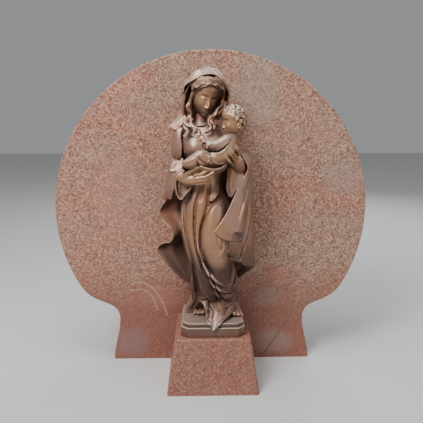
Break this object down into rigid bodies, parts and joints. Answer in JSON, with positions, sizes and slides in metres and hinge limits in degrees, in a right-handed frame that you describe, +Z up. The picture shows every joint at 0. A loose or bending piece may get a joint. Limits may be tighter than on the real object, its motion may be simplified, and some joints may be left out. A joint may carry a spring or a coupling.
{
  "type": "headstone",
  "caption": "Garden headstone: granite disc on a narrower foot, with a tapered granite plinth in front that carries a bronze Madonna and Child.",
  "frame": {"origin": "middle of the footprint at ground level", "axes": "+X to the viewer's right, +Y from the front to the back, +Z up; the front faces -Y"},
  "size_m": [1, 0.3786, 1.012],
  "materials": {
    "granite_slab": "honed",
    "granite_plinth": "honed",
    "bronze": "brown patina, rubbed bright on the ridges"
  },
  "bodies": {
    "root": {"headstone_slab": "granite_slab", "plinth_block": "granite_plinth", "madonna_statue": "bronze"}
  },
  "joints": []
}
